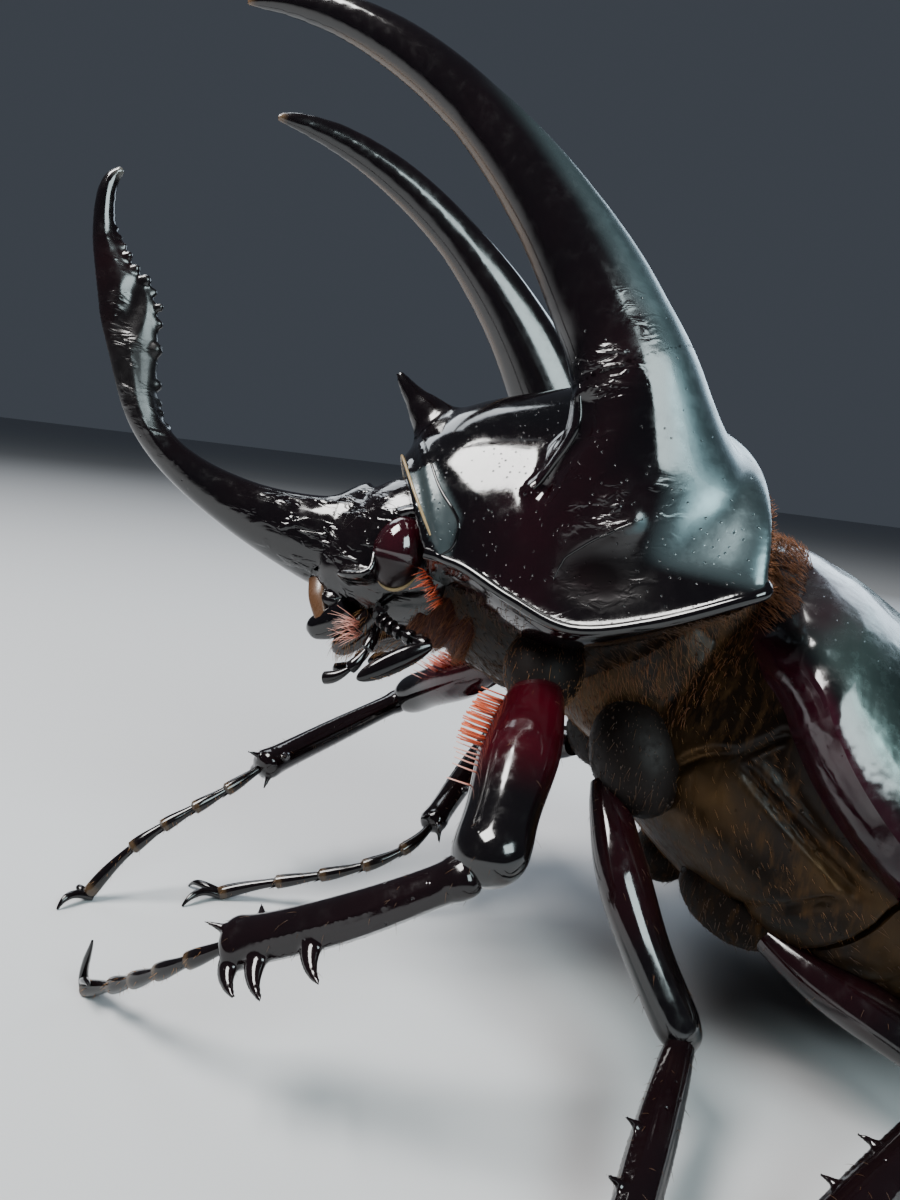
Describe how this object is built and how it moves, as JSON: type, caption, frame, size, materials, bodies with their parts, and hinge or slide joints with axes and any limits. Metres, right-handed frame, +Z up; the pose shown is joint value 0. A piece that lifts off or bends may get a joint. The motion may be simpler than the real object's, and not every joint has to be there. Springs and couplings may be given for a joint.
{
  "type": "atlas beetle",
  "caption": "Standing horned beetle with long forward-curving horns, a domed pronotum, hard wing cases and toothed legs with clawed feet.",
  "frame": {"origin": "on the floor under the middle of the beetle's box", "axes": "+Z up, the head points to -Y and the beetle's left side to +X"},
  "size_m": [0.0952, 0.091, 0.0728],
  "materials": {
    "black_shell": "glossy black chitin with a dark maroon glow and fine punctures",
    "maroon_shell": "glossy dark maroon chitin",
    "eye": "smooth glossy dark maroon",
    "brown_underside": "satin dark brown chitin with short golden hair",
    "wing_case": "glossy black-bronze chitin with a pale green sheen"
  },
  "bodies": {
    "root": {"abdomen": "brown_underside", "antenna_left": "black_shell", "antenna_right": "black_shell", "cephalic_horn_base": "black_shell", "cephalic_horn_tip": "black_shell", "coxa_fore_left": "black_shell", "coxa_fore_right": "black_shell", "coxa_hind_left": "black_shell", "coxa_hind_right": "black_shell", "coxa_mid_left": "black_shell", "coxa_mid_right": "black_shell", "elytron_left": "wing_case", "elytron_right": "wing_case", "eye_left": "eye", "eye_right": "eye", "femur_fore_left": "maroon_shell", "femur_fore_right": "maroon_shell", "femur_hind_left": "maroon_shell", "femur_hind_right": "maroon_shell", "femur_mid_left": "maroon_shell", "femur_mid_right": "maroon_shell", "head": "black_shell", "labium": "black_shell", "mandible_left": "black_shell", "mandible_right": "black_shell", "maxilla_left": "brown_underside", "maxilla_right": "brown_underside", "median_horn": "black_shell", "palp_left": "black_shell", "palp_right": "black_shell", "pronotum": "black_shell", "prosternum": "brown_underside", "scutellum": "black_shell", "tarsus_fore_left": "black_shell", "tarsus_fore_right": "black_shell", "tarsus_hind_left": "black_shell", "tarsus_hind_right": "black_shell", "tarsus_mid_left": "black_shell", "tarsus_mid_right": "black_shell", "thoracic_horn_left": "black_shell", "thoracic_horn_right": "black_shell", "thorax": "brown_underside", "tibia_fore_left": "black_shell", "tibia_fore_right": "black_shell", "tibia_hind_left": "black_shell", "tibia_hind_right": "black_shell", "tibia_mid_left": "black_shell", "tibia_mid_right": "black_shell"}
  },
  "joints": []
}
